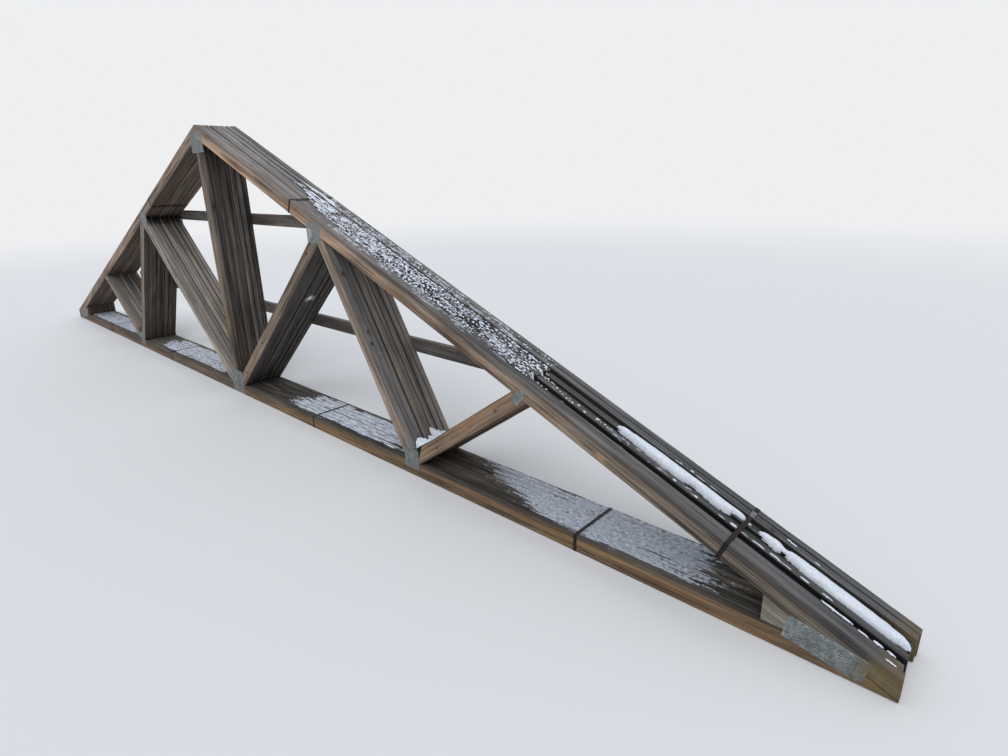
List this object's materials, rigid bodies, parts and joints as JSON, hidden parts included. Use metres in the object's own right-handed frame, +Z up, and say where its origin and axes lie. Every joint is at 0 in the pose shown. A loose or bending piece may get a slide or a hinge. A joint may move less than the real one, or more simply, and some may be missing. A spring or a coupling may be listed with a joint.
{
  "type": "bundle of wooden roof trusses",
  "caption": "Strapped bundle of identical wooden roof trusses with toothed steel joint plates, standing upright with two level boards across the back.",
  "frame": {"origin": "middle of the bundle's footprint, on the ground", "axes": "+X along the span, +Y from the front truss toward the back boards, +Z up"},
  "size_m": [9.7774, 0.358, 2.1352],
  "materials": {
    "weathered_lumber": "dry, grey-brown weathered sawn softwood with frost on the top edges",
    "dark_lumber": "dark grey weathered sawn softwood",
    "galvanised_plate": "dull galvanised sheet steel with punched slots",
    "steel_strap": "black painted steel strapping, slightly rusted"
  },
  "bodies": {
    "root": {"back_board_lower": "dark_lumber", "back_board_upper": "dark_lumber", "bottom_chord_left": "weathered_lumber", "bottom_chord_right": "weathered_lumber", "heel_wedge_left": "weathered_lumber", "heel_wedge_right": "weathered_lumber", "inner_web_left": "weathered_lumber", "inner_web_right": "weathered_lumber", "king_post": "weathered_lumber", "middle_web_left": "weathered_lumber", "middle_web_right": "weathered_lumber", "outer_web_left": "weathered_lumber", "outer_web_right": "weathered_lumber", "plate_bottom_center": "galvanised_plate", "plate_bottom_middle_left": "galvanised_plate", "plate_bottom_middle_right": "galvanised_plate", "plate_heel_left": "galvanised_plate", "plate_heel_right": "galvanised_plate", "plate_peak": "galvanised_plate", "plate_top_inner_left": "galvanised_plate", "plate_top_inner_right": "galvanised_plate", "plate_top_outer_left": "galvanised_plate", "plate_top_outer_right": "galvanised_plate", "seal_bottom_left_inner": "steel_strap", "seal_bottom_left_outer": "steel_strap", "seal_bottom_right_inner": "steel_strap", "seal_bottom_right_outer": "steel_strap", "seal_top_left_upper": "steel_strap", "seal_top_right_lower": "steel_strap", "seal_top_right_upper": "steel_strap", "strap_bottom_left_inner": "steel_strap", "strap_bottom_left_outer": "steel_strap", "strap_bottom_right_inner": "steel_strap", "strap_bottom_right_outer": "steel_strap", "strap_top_left_upper": "steel_strap", "strap_top_right_lower": "steel_strap", "strap_top_right_upper": "steel_strap", "top_chord_left": "weathered_lumber", "top_chord_right": "weathered_lumber", "top_chord_right_lower": "weathered_lumber"}
  },
  "joints": []
}
